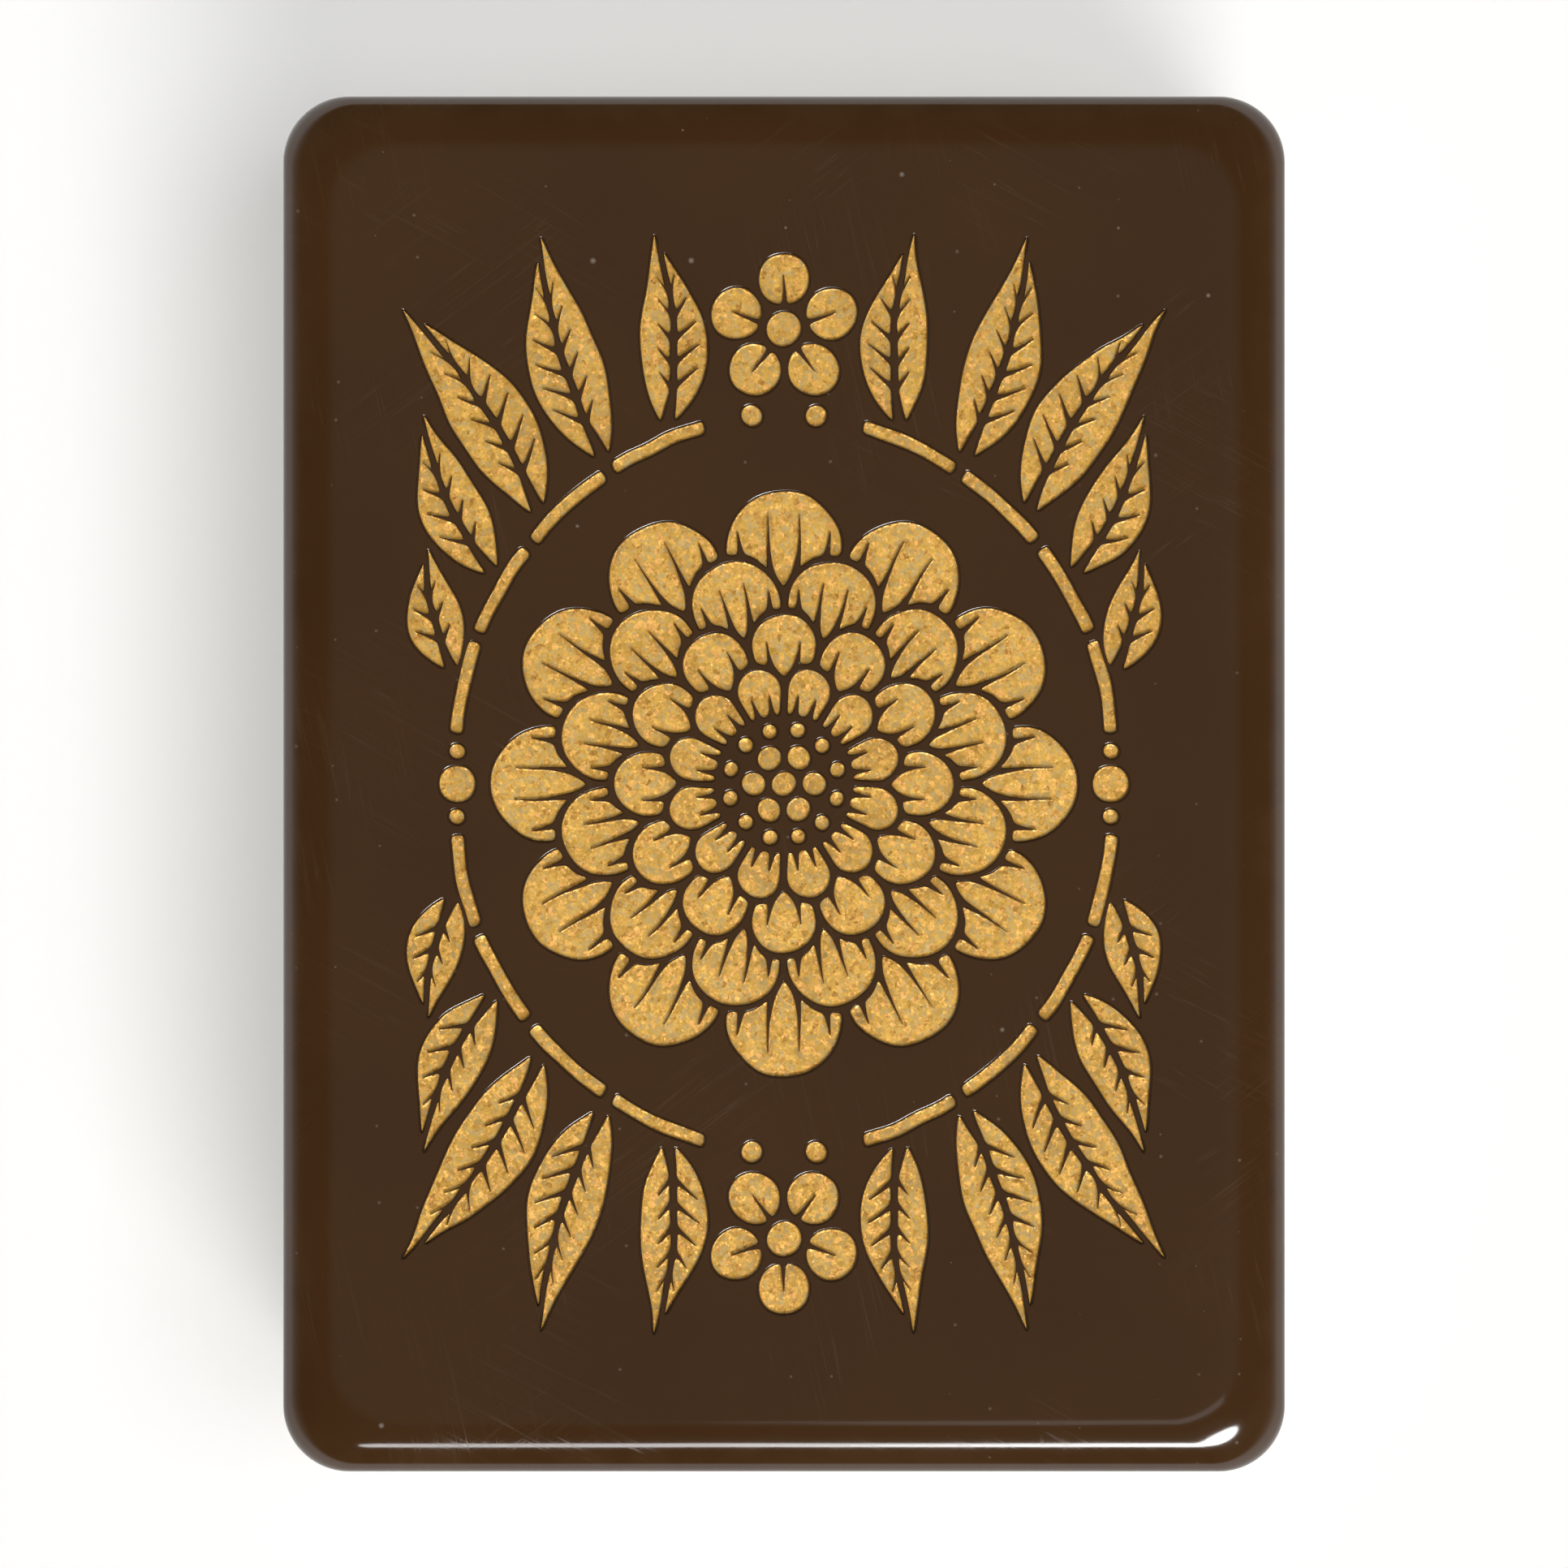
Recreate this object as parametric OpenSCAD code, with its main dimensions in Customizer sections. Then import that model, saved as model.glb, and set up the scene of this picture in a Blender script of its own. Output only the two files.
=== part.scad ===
// Mahjong tile, lying face down with its engraved back up.
// Two moulded layers are bonded at a flat joint. Both outer sides are engraved, and paint fills the engraving.
// X is the tile's width, Y its length and Z its thickness. The origin is the middle of the underside.

/* [Tile] */
// Width of the tile
tile_w = 22; // [20.6:0.1:32]
// Length of the tile
tile_l = 30.2; // [28:0.1:44]
// Thickness of the whole tile
tile_t = 13; // [9:0.1:24]
// Thickness of the coloured back layer
back_t = 4.6; // [2.5:0.1:7]
// Radius of all rounded edges and corners
edge_r = 1.45; // [0.6:0.05:1.7]

/* [Engraving] */
// Depth of the engraving in both layers
engrave_depth = 0.4; // [0.25:0.05:0.8]
// Thickness of the paint in the engraving
paint_t = 0.3; // [0.1:0.02:0.4]
// Width of the uncut ridges between neighbouring pieces of the ornament
ridge_w = 0.17; // [0.12:0.01:0.24]
// Width of a hatch line where it starts
hatch_w = 0.15; // [0.1:0.01:0.22]

/* [Bloom] */
// Diameter of the bloom
bloom_d = 12.8; // [11.6:0.1:13.4]
// Diameter of the button in the middle
button_d = 2.7; // [2.2:0.1:3.1]
// Diameter of the middle seeds of the button
seed_d = 0.5; // [0.3:0.02:0.56]
// Diameter of the rim seeds of the button
rim_seed_d = 0.3; // [0.2:0.02:0.36]

/* [Wreath] */
// Distance from the bloom to the middle of the stems at the sides
wreath_gap = 0.75; // [0.4:0.05:0.9]
// How much farther out the stems lie at the top than at the sides
wreath_rise = 1; // [0.6:0.05:1.2]
// Width of a stem
stem_w = 0.26; // [0.18:0.02:0.4]
// Length of the longest leaf
leaf_l = 5.4; // [4.2:0.1:5.7]
// Width of the widest leaf
leaf_w = 1.5; // [1:0.05:1.6]
// Diameter of the small blossom above and below the bloom
blossom_d = 3.3; // [2.4:0.1:3.6]
// Distance from the line of the stems to the small blossoms
blossom_gap = 0.15; // [0:0.05:0.3]
// Diameter of the berries at the ends of the stems
berry_d = 0.44; // [0.3:0.02:0.5]
// Diameter of the large berry at each side
side_berry_d = 0.8; // [0.5:0.05:1]

/* [Face] */
// Outer diameter of a painted circle
circle_d = 5.1; // [3.6:0.1:5.5]
// Width of the outer ring of a circle
outer_ring_w = 0.5; // [0.3:0.05:0.6]
// Width of the inner ring of a circle
inner_ring_w = 0.32; // [0.2:0.02:0.4]
// Width of the uncut ridge between a circle's rings
ring_ridge_w = 0.34; // [0.2:0.02:0.4]
// Distance from the long sides of the tile to the circles
circle_margin_x = 2.35; // [1.6:0.05:2.6]
// Distance from the short ends of the tile to the circles
circle_margin_y = 4.15; // [2.5:0.05:5.5]

/* [Hidden] */
$fn = 48;

// Overrun of the cuts past the surface
over = 0.2;
face_t = tile_t - back_t;
pocket_z = tile_t - engrave_depth;

// Rings of petals, from the outside in
petals = 12;
sector = 180 / petals;
bloom_r = bloom_d / 2;
button_r = button_d / 2;
// How far each ring reaches from the button to the bloom's edge, as shares
ring_shares = [1, 0.72, 0.465, 0.24];
ring_r = [for (share = ring_shares) button_r + share * (bloom_r - button_r)];
last_ring = len(ring_r) - 1;
tip_steps = 12;
// The tip's arc turns at least this far each way before it meets the next ring
least_tip_angle = 60;
halvings = 20;
// Lengths of the hatch lines at the foot of a petal, as shares of what shows of it
hatch_shares = [[0.42, 0.72, 0.72, 0.42], [0.4, 0.66, 0.66, 0.4], [0.5, 0.5], [0.45, 0.45]];

// The button's seeds
rim_seeds = 12;
middle_seeds = 6;
rim_seed_r = button_r - rim_seed_d / 2;
middle_seed_r = (rim_seed_r - rim_seed_d / 2 + seed_d / 2) / 2;

// The wreath's stems and leaves in one quarter
stem_pieces = 4;
stem_start_angle = 9;
stem_step_angle = 17.6;
stem_break_angle = 2;
stem_steps = 5;
berry_angle = 85;
// Small berries beside the large ones, as a share of the others
small_berry_share = 0.7;
wreath_r = bloom_r + wreath_gap;
// Each leaf: where it leaves the stem, where it points, its length as a share and its bend, in degrees
leaf_shares = [
    [19, 78, 0.5, 30],
    [36, 66, 0.7, 34],
    [48, 56, 1, -24],
    [61, 74, 0.94, 24],
    [72, 86, 0.78, -30]];
leaf_steps = 8;
// Veins of the longest leaf, in each half
leaf_veins = 6;
// Width of a leaf without length, as a share of the widest leaf
slim_share = 0.4;
// How early a leaf is widest, and how pointed it is
leaf_early = 0.8;
leaf_point = 1.15;
// Where the halves start and where the shorter half ends, as shares of the leaf's length
foot_share = 0.02;
short_share = 0.9;
// Where the veins start, how far they are spread and how far they lean, as shares
vein_start_share = 0.08;
vein_spread_share = 0.74;
vein_lean_share = 0.28;
// How far the veins reach across the long and the short half, as shares
long_vein_share = 0.45;
short_vein_share = 0.8;

// The small blossoms
blossom_petals = 5;
blossom_half = 180 / blossom_petals;
blossom_petal_r = (blossom_d / 2 * sin(blossom_half) - ridge_w / 2) / (1 + sin(blossom_half));
blossom_core_r = blossom_d / 2 - 2 * blossom_petal_r - ridge_w;
blossom_y = wreath_r + wreath_rise + blossom_gap + blossom_d / 2;
blossom_slot_share = 0.75;

// The face's circles
circle_columns = 3;
circle_rows = 3;
circle_pitch_x = (tile_w - circle_d - 2 * circle_margin_x) / (circle_columns - 1);
circle_pitch_y = (tile_l - circle_d - 2 * circle_margin_y) / (circle_rows - 1);
circle_inner_d = circle_d - 2 * outer_ring_w - 2 * ring_ridge_w;
circle_field_r = circle_inner_d / 2 - inner_ring_w;
circle_dots = 6;
circle_dot_share = 0.27;

gold = [0.77, 0.6, 0.33];
brown = [0.22, 0.15, 0.1];
ivory = [0.93, 0.89, 0.78];

// Point at a distance r from the middle, in the direction a
function on_circle(r, a) = [r * cos(a), r * sin(a)];
function bearing(p) = atan2(p.y, p.x);

// A petal's tip is an arc that touches the ridges on both sides of the petal
function tip_centre(r) = (r + ridge_w / 2) / (1 + sin(sector));
function tip_radius(r) = tip_centre(r) * sin(sector) - ridge_w / 2;
function tip_point(k, turn) = [tip_centre(ring_r[k]), 0] + on_circle(tip_radius(ring_r[k]), turn);
// Every other ring is turned by half a petal
function ring_turn(k) = sector * (k % 2);

// How far ring k reaches from the middle in the direction a, with the ridge round it
function ring_reach(k, a) =
    k > last_ring ? button_r + ridge_w :
    let (from_petal = abs((a + ring_turn(k) + sector + 360) % (2 * sector) - sector),
         grown = tip_radius(ring_r[k]) + ridge_w,
         centre = tip_centre(ring_r[k]))
    centre * cos(from_petal) + sqrt(max(0, grown * grown - pow(centre * sin(from_petal), 2)));

// How far the tip's arc of ring k turns before it meets the next ring, found by halving
function tip_is_clear(k, turn) =
    let (p = tip_point(k, turn)) norm(p) > ring_reach(k + 1, bearing(p) + ring_turn(k));
function tip_swing(k, low = least_tip_angle, high = 90 + sector, rounds = halvings) =
    tip_is_clear(k, high) ? high :
    rounds == 0 ? low :
    tip_is_clear(k, (low + high) / 2) ? tip_swing(k, (low + high) / 2, high, rounds - 1) :
    tip_swing(k, low, (low + high) / 2, rounds - 1);

// The foot of a petal follows the next ring, with a pointed hatch line in each stretch
function foot_stretch(k, a, step, share) =
    let (middle = a - step / 2,
         reach = ring_reach(k + 1, middle + ring_turn(k)),
         half = hatch_w / 2 / reach * 180 / PI)
    [on_circle(ring_reach(k + 1, a + ring_turn(k)), a),
     on_circle(reach, middle + half),
     on_circle(reach + share * (ring_r[k] - reach), middle),
     on_circle(reach, middle - half)];

function petal(k) =
    let (swing = tip_swing(k),
         side = ring_reach(k + 1, ring_turn(k) + sector),
         wide = min(bearing(tip_point(k, swing)), sector - asin(ridge_w / 2 / side)),
         n = len(hatch_shares[k]),
         step = 2 * wide / n)
    concat(
        [for (i = [0:tip_steps]) tip_point(k, swing * (2 * i / tip_steps - 1))],
        [for (i = [0:n - 1]) each foot_stretch(k, wide - step * i, step, hatch_shares[k][i])],
        [on_circle(ring_reach(k + 1, ring_turn(k) - wide), -wide)]);

module petal_ring(k) {
    for (i = [0:petals - 1]) {
        rotate(2 * sector * i + ring_turn(k)) polygon(petal(k));
    }
}

module seeds() {
    circle(d = seed_d);
    for (i = [0:middle_seeds - 1]) {
        rotate(360 * i / middle_seeds) translate([middle_seed_r, 0]) circle(d = seed_d);
    }
    for (i = [0:rim_seeds - 1]) {
        rotate(360 * (i + 0.5) / rim_seeds) translate([rim_seed_r, 0]) circle(d = rim_seed_d);
    }
}

// Point on the middle line of the stems, which moves outwards as it climbs
function stem_point(a, outwards = 0) = on_circle(wreath_r + wreath_rise * a / 90 + outwards, a);

function stem(first) =
    let (turn = stem_step_angle - stem_break_angle)
    concat(
        [for (i = [0:stem_steps]) stem_point(first + turn * i / stem_steps, stem_w / 2)],
        [for (i = [stem_steps:-1:0]) stem_point(first + turn * i / stem_steps, -stem_w / 2)]);

module quarter_stems() {
    for (i = [0:stem_pieces - 1]) {
        polygon(stem(stem_start_angle + stem_step_angle * i));
    }
}

// A leaf runs along a bent line, with t from 0 at its foot to 1 at its tip
function leaf_line(l, bend, t) = [l * t, -l * bend * PI / 180 * t * (1 - t) / 2];
function leaf_half_w(w, t) = w / 2 * pow(sin(180 * pow(min(t, 1), leaf_early)), leaf_point);
// The long half closes over the midrib's ridge at the tip
function rib_w(t, is_long) = ridge_w / 2 * (is_long ? 1 - pow(t, 4) : 1);

function leaf_half(l, w, bend, side, is_long) =
    let (end = is_long ? 1 : short_share,
         veins = round(leaf_veins * l / leaf_l),
         lean = vein_lean_share * w / l,
         half = hatch_w / l / 2,
         reach = is_long ? long_vein_share : short_vein_share)
    concat(
        [for (i = [0:leaf_steps])
            let (t = foot_share + (end - foot_share) * i / leaf_steps)
            leaf_line(l, bend, t) + [0, side * (rib_w(t, is_long) + leaf_half_w(w, t / end))]],
        [for (i = [veins:-1:1])
            let (t = vein_start_share + vein_spread_share * i / (veins + 1),
                 rib = [0, side * rib_w(t, is_long)],
                 out = [0, side * reach * leaf_half_w(w, (t + lean) / end)])
            each [
                leaf_line(l, bend, t + half) + rib,
                leaf_line(l, bend, t + lean) + rib + out,
                leaf_line(l, bend, t - half) + rib]]);

module leaf(l, w, bend) {
    side = sign(bend);
    polygon(leaf_half(l, w, bend, side, true));
    polygon(leaf_half(l, w, bend, -side, false));
}

module quarter_leaves() {
    for (v = leaf_shares) {
        translate(stem_point(v[0], stem_w / 2 + ridge_w)) rotate(v[1])
            leaf(v[2] * leaf_l, leaf_w * (slim_share + (1 - slim_share) * v[2]), v[3]);
    }
}

// Both quarters of one end of the tile
module both_sides() {
    children();
    mirror([1, 0]) children();
}

module blossom() {
    for (i = [0:blossom_petals - 1]) {
        rotate(2 * blossom_half * i + 90) difference() {
            translate([blossom_d / 2 - blossom_petal_r, 0]) circle(blossom_petal_r);
            polygon([
                [blossom_core_r, hatch_w / 2],
                [blossom_d / 2 - blossom_slot_share * blossom_petal_r, 0],
                [blossom_core_r, -hatch_w / 2]]);
        }
    }
    circle(blossom_core_r);
}

module quarter_berries() {
    small_d = berry_d * small_berry_share;
    translate(stem_point(berry_angle)) circle(d = berry_d);
    translate([wreath_r, side_berry_d / 2 + ridge_w + small_d / 2]) circle(d = small_d);
}

// The ornament's pieces, each drawn flat
module end_leaves() both_sides() quarter_leaves();
module end_stems() both_sides() quarter_stems();
module end_blossom() translate([0, blossom_y]) blossom();
module all_berries() {
    for (turn = [0, 180]) {
        rotate(turn) both_sides() quarter_berries();
        rotate(turn) translate([wreath_r, 0]) circle(d = side_berry_d);
    }
}
module each_end() {
    children();
    rotate(180) children();
}

// One painted circle of the face, drawn flat
module face_circle() {
    difference() {
        circle(d = circle_d);
        circle(d = circle_d - 2 * outer_ring_w);
    }
    difference() {
        circle(d = circle_inner_d);
        circle(d = circle_inner_d - 2 * inner_ring_w);
    }
    dot_d = circle_field_r * 2 * circle_dot_share;
    circle(d = dot_d);
    for (i = [0:circle_dots - 1]) {
        rotate(360 * i / circle_dots) translate([(circle_field_r + dot_d / 2) / 2, 0])
            circle(d = dot_d);
    }
}

module circle_row(row) {
    for (column = [0:circle_columns - 1]) {
        translate([
            (column - (circle_columns - 1) / 2) * circle_pitch_x,
            (row - (circle_rows - 1) / 2) * circle_pitch_y])
            face_circle();
    }
}

// Cuts the flat shape into the back, and paints it there
module cut_back() translate([0, 0, pocket_z]) linear_extrude(engrave_depth + over) children();
module paint_back() color(gold) translate([0, 0, pocket_z]) linear_extrude(paint_t) children();
// The same on the face, seen from below
module cut_face() translate([0, 0, -over]) linear_extrude(engrave_depth + over) children();
module paint_face() translate([0, 0, engrave_depth - paint_t]) linear_extrude(paint_t) children();

// Side view of a rounded edge: r wide and t high, with its upper outer corner rounded
module edge_profile(r, t) {
    square([r, t - r]);
    translate([0, t - r]) intersection() {
        circle(r);
        square(2 * r);
    }
}

// A slab with rounded upright corners and upper edges, built from pieces that meet face to face
module rounded_slab(w, l, t, r) {
    core = [w - 2 * r, l - 2 * r];
    translate([-core.x / 2, -core.y / 2, 0]) cube([core.x, core.y, t]);
    for (side = [0, 1]) {
        rotate(180 * side) translate([core.x / 2, core.y / 2, 0])
            rotate([90, 0, 0]) linear_extrude(core.y) edge_profile(r, t);
        rotate(180 * side) translate([-core.x / 2, core.y / 2, 0])
            rotate([90, 0, 90]) linear_extrude(core.x) edge_profile(r, t);
        for (corner = [0, 1]) {
            rotate(180 * side) mirror([corner, 0, 0]) translate([core.x / 2, core.y / 2, 0])
                rotate_extrude(angle = 90) edge_profile(r, t);
        }
    }
}

module back_layer() {
    color(brown) difference() {
        translate([0, 0, face_t]) rounded_slab(tile_w, tile_l, back_t, edge_r);
        for (k = [0:last_ring]) {
            cut_back() petal_ring(k);
        }
        cut_back() seeds();
        cut_back() each_end() end_leaves();
        cut_back() each_end() end_stems();
        cut_back() each_end() end_blossom();
        cut_back() all_berries();
    }
}

module face_layer() {
    color(ivory) difference() {
        translate([0, 0, face_t]) mirror([0, 0, 1]) rounded_slab(tile_w, tile_l, face_t, edge_r);
        for (row = [0:circle_rows - 1]) {
            cut_face() circle_row(row);
        }
    }
}

module outer_petals() paint_back() petal_ring(0);
module second_petals() paint_back() petal_ring(1);
module third_petals() paint_back() petal_ring(2);
module inner_petals() paint_back() petal_ring(3);
module button_seeds() paint_back() seeds();
module upper_leaves() paint_back() end_leaves();
module lower_leaves() paint_back() rotate(180) end_leaves();
module upper_stems() paint_back() end_stems();
module lower_stems() paint_back() rotate(180) end_stems();
module upper_blossom() paint_back() end_blossom();
module lower_blossom() paint_back() rotate(180) end_blossom();
module berries() paint_back() all_berries();
module green_circles() color([0.1, 0.36, 0.2]) paint_face() circle_row(2);
module red_circles() color([0.62, 0.1, 0.1]) paint_face() circle_row(1);
module blue_circles() color([0.1, 0.2, 0.45]) paint_face() circle_row(0);

back_layer();
face_layer();
outer_petals();
second_petals();
third_petals();
inner_petals();
button_seeds();
upper_leaves();
lower_leaves();
upper_stems();
lower_stems();
upper_blossom();
lower_blossom();
berries();
green_circles();
red_circles();
blue_circles();
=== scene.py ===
"""Mahjong tile lying face down, with a gold ornament engraved in its glossy brown back.

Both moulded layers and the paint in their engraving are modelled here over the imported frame.
The outlines of the engraving come from the frame's own paint nodes. Each outline is smoothed, and
profiles are carried along it for the rounded rim, the wall of the pocket and the paint that
climbs up it. Lengths are in metres, in the frame's own axes. Patterns are scaled in millimetres.
"""

import logging
import math
from collections.abc import Callable, Mapping, Sequence
from dataclasses import dataclass, field
from enum import Enum
from functools import cache

import bpy
import numpy as np
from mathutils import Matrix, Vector, geometry
from numpy.typing import NDArray


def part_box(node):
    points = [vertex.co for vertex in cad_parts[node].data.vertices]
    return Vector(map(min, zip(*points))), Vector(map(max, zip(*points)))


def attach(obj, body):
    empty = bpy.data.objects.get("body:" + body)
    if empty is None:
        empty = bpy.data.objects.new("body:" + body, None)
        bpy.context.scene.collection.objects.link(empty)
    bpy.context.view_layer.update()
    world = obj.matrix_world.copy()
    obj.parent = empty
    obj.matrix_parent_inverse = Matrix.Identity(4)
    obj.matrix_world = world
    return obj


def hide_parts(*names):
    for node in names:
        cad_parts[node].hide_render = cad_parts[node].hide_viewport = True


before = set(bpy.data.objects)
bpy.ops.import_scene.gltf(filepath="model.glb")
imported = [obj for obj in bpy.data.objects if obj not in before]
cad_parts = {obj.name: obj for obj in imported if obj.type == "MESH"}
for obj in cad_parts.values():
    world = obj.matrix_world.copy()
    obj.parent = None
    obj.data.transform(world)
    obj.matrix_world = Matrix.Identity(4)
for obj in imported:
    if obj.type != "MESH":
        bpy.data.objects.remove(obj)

Array = NDArray[np.float64]
Indices = NDArray[np.int64]
Pair = tuple[float, float]
Colour = tuple[float, float, float]

MM = 0.001
log = logging.getLogger("tile")


def new_object(data: bpy.types.ID) -> bpy.types.Object:
    """Makes an object with the name of its data, and links it to the scene.

    Args:
        data: Mesh, light or camera.

    Returns:
        The object.
    """
    made = bpy.data.objects.new(data.name, data)
    bpy.context.scene.collection.objects.link(made)
    return made


class Side(Enum):
    """The two engraved sides of the tile. The value is the way each one faces along Z."""

    BACK = 1
    FACE = -1


# Outlines


def walk_cycle(start: int, following: Indices) -> Indices:
    """Lists a closed chain by doubling: the walk so far is followed by itself, moved that far on.

    Args:
        start: First member of the chain.
        following: For each member, the one after it.

    Returns:
        The chain's members in order, each once.
    """
    walk, jump = np.array([start]), following
    while not (walk[1:] == start).any():
        walk, jump = np.concatenate([walk, jump[walk]]), jump[jump]
    return walk[: np.flatnonzero(walk == start)[1]]


def outlines_of(node: str, side: Side) -> list[Array]:
    """Reads the closed outlines of a paint node's outer flat.

    Edges that belong to one triangle only lie on the outline. They keep the triangle's own
    direction, so that the paint lies on the left of each outline, seen from above.

    Args:
        node: Name of the CAD node.
        side: Side of the tile that the node is painted on.

    Returns:
        One array of points in the plane for each outline.
    """
    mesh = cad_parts[node].data
    mesh.calc_loop_triangles()
    points = np.empty((len(mesh.vertices), 3))
    mesh.vertices.foreach_get("co", points.ravel())
    corners = np.empty((len(mesh.loop_triangles), 3), dtype=np.int64)
    mesh.loop_triangles.foreach_get("vertices", corners.ravel())

    height = points[:, 2].max() if side is Side.BACK else points[:, 2].min()
    flat = (np.abs(points[corners][:, :, 2] - height) < 1e-7).all(axis=1)
    keys, same = np.unique(np.round(points[:, :2], 8), axis=0, return_inverse=True)
    triangles = same.reshape(-1)[corners[flat]][:, :: side.value]

    edges = np.concatenate([triangles[:, [0, 1]], triangles[:, [1, 2]], triangles[:, [2, 0]]])
    code = edges[:, 0] * len(keys) + edges[:, 1]
    turned = edges[:, 1] * len(keys) + edges[:, 0]
    rim = edges[~np.isin(code, turned)]
    following = np.arange(len(keys))
    following[rim[:, 0]] = rim[:, 1]

    outlines, left = [], set(rim[:, 0].tolist())
    while left:
        cycle = walk_cycle(min(left), following)
        left.difference_update(cycle.tolist())
        outlines.append(keys[cycle])
    return outlines


@dataclass(frozen=True)
class Smoother:
    """Turns a polygon from the frame into the fine outline that a cutter leaves."""

    spacing: float = 0.075 * MM
    corner_angle: float = math.radians(32)
    shortest: float = 0.01 * MM
    wander: float = 0.014 * MM
    wave: float = 1.7 * MM

    def __call__(self, polygon: Array) -> Array:
        """Returns the smooth outline of a polygon.

        Between corners the outline is a cubic curve through the polygon's points. Each stretch
        between two points p and q with tangents u and v is the Hermite cubic
        p (2t^3 - 3t^2 + 1) + u (t^3 - 2t^2 + t) + q (3t^2 - 2t^3) + v (t^3 - t^2). Each point then
        goes halfway to the middle of its neighbours, which rounds the corners.

        Args:
            polygon: Points of the closed polygon.

        Returns:
            Points of the closed outline, about one spacing apart.
        """
        keep = np.linalg.norm(polygon - np.roll(polygon, 1, axis=0), axis=1) > self.shortest
        p = polygon[keep]
        ahead = np.roll(p, -1, axis=0) - p
        length = np.linalg.norm(ahead, axis=1)
        behind = np.roll(ahead, 1, axis=0)
        sideways = behind[:, 0] * ahead[:, 1] - behind[:, 1] * ahead[:, 0]
        turn = np.arctan2(sideways, (behind * ahead).sum(axis=1))
        corner = np.abs(turn) > self.corner_angle

        middle = (behind + ahead) / (length + np.roll(length, 1))[:, None]
        leaving = middle * length[:, None]
        arriving = np.roll(middle, -1, axis=0) * length[:, None]
        last = np.roll(corner, -1)
        first_only, last_only = corner & ~last, last & ~corner
        leaving[first_only] = 1.5 * ahead[first_only] - 0.5 * arriving[first_only]
        arriving[last_only] = 1.5 * ahead[last_only] - 0.5 * leaving[last_only]
        both = corner & last
        leaving[both] = arriving[both] = ahead[both]

        steps = np.maximum(1, np.rint(length / self.spacing)).astype(int)
        piece = np.repeat(np.arange(len(p)), steps)
        t = (np.arange(len(piece)) - np.repeat(np.cumsum(steps) - steps, steps)) / steps[piece]
        t = t[:, None]
        q = np.roll(p, -1, axis=0)
        fine = (
            p[piece] * (2 * t**3 - 3 * t**2 + 1)
            + leaving[piece] * (t**3 - 2 * t**2 + t)
            + q[piece] * (3 * t**2 - 2 * t**3)
            + arriving[piece] * (t**3 - t**2)
        )
        fine = (np.roll(fine, 1, axis=0) + 2 * fine + np.roll(fine, -1, axis=0)) / 4
        return fine + self.wander * self.drift(fine)

    def drift(self, points: Array) -> Array:
        """Returns the cutter's slow drift: along each axis a sine of the place, bent by another."""
        x, y = (points / self.wave * 2 * math.pi).T
        return np.stack(
            [np.sin(y + 1.7 * np.sin(0.6 * x)), np.sin(1.3 * x + 1.1 * np.sin(0.7 * y))], axis=1
        )


@dataclass
class Outline:
    """Closed outline of one pocket, with the pocket on its left.

    It is never moved by more than the used share of its room, once a margin is taken off.
    """

    points: Array
    used_share: float = 0.6
    margin: float = 0.008 * MM
    outwards: Array = field(init=False)
    room_outwards: Array = field(init=False)
    room_inwards: Array = field(init=False)

    def __post_init__(self) -> None:
        """Works out the normals, which point out of the pocket."""
        along = np.roll(self.points, -1, axis=0) - np.roll(self.points, 1, axis=0)
        along /= np.linalg.norm(along, axis=1, keepdims=True)
        self.outwards = np.stack([along[:, 1], -along[:, 0]], axis=1)

    def dense(self, parts: int = 3) -> Array:
        """Returns points along the outline, several for each of its stretches."""
        t = np.linspace(0, 1, parts, endpoint=False)[:, None, None]
        return (self.points * (1 - t) + np.roll(self.points, -1, axis=0) * t).reshape(-1, 2)

    def measure_room(self, others: Array, reach: float) -> None:
        """Measures how far the outline can be moved each way before it meets itself or another.

        The room at a point p with normal n is the radius of the largest circle that touches the
        outline at p and holds no other point q: the least of |q - p|^2 / (2 (q - p) . n).

        Args:
            others: Dense points of all outlines, this one among them.
            reach: Room that is enough anywhere.
        """
        low, high = self.points.min(axis=0) - 2 * reach, self.points.max(axis=0) + 2 * reach
        near = others[((others > low) & (others < high)).all(axis=1)]
        gap = near[None] - self.points[:, None]
        square = (gap**2).sum(axis=2)
        for name, normal in (("room_outwards", self.outwards), ("room_inwards", -self.outwards)):
            facing = (gap * normal[:, None]).sum(axis=2)
            ahead = facing > 1e-3 * np.sqrt(square)
            radius = np.where(ahead & (square > 0), square / (2 * np.where(ahead, facing, 1)), reach)
            room = np.minimum(radius.min(axis=1), reach)
            room = np.minimum(room, np.minimum(np.roll(room, 1), np.roll(room, -1)))
            room = np.minimum(room, (np.roll(room, 1) + np.roll(room, -1)) / 2)
            setattr(self, name, room)

    def shift(self, distance: float) -> Array:
        """Works out how far each point can move.

        Args:
            distance: Distance outwards, or inwards where it is negative.

        Returns:
            The distance for each point, or less where there is no room.
        """
        room = self.room_outwards if distance > 0 else self.room_inwards
        usable = self.used_share * np.maximum(room - self.margin, 0)
        return np.minimum(abs(distance), usable) * np.sign(distance)

    def moved(self, distance: float) -> Array:
        """Returns the outline's points moved by a distance, as far as there is room."""
        return self.points + self.outwards * self.shift(distance)[:, None]


# Surfaces


def enclosed_area(loop: Array) -> float:
    """Returns the area inside a closed loop: half the sum of x dy - y dx."""
    x, y = loop[:, 0], loop[:, 1]
    return float((x * np.roll(y, -1) - y * np.roll(x, -1)).sum() / 2)


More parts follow.
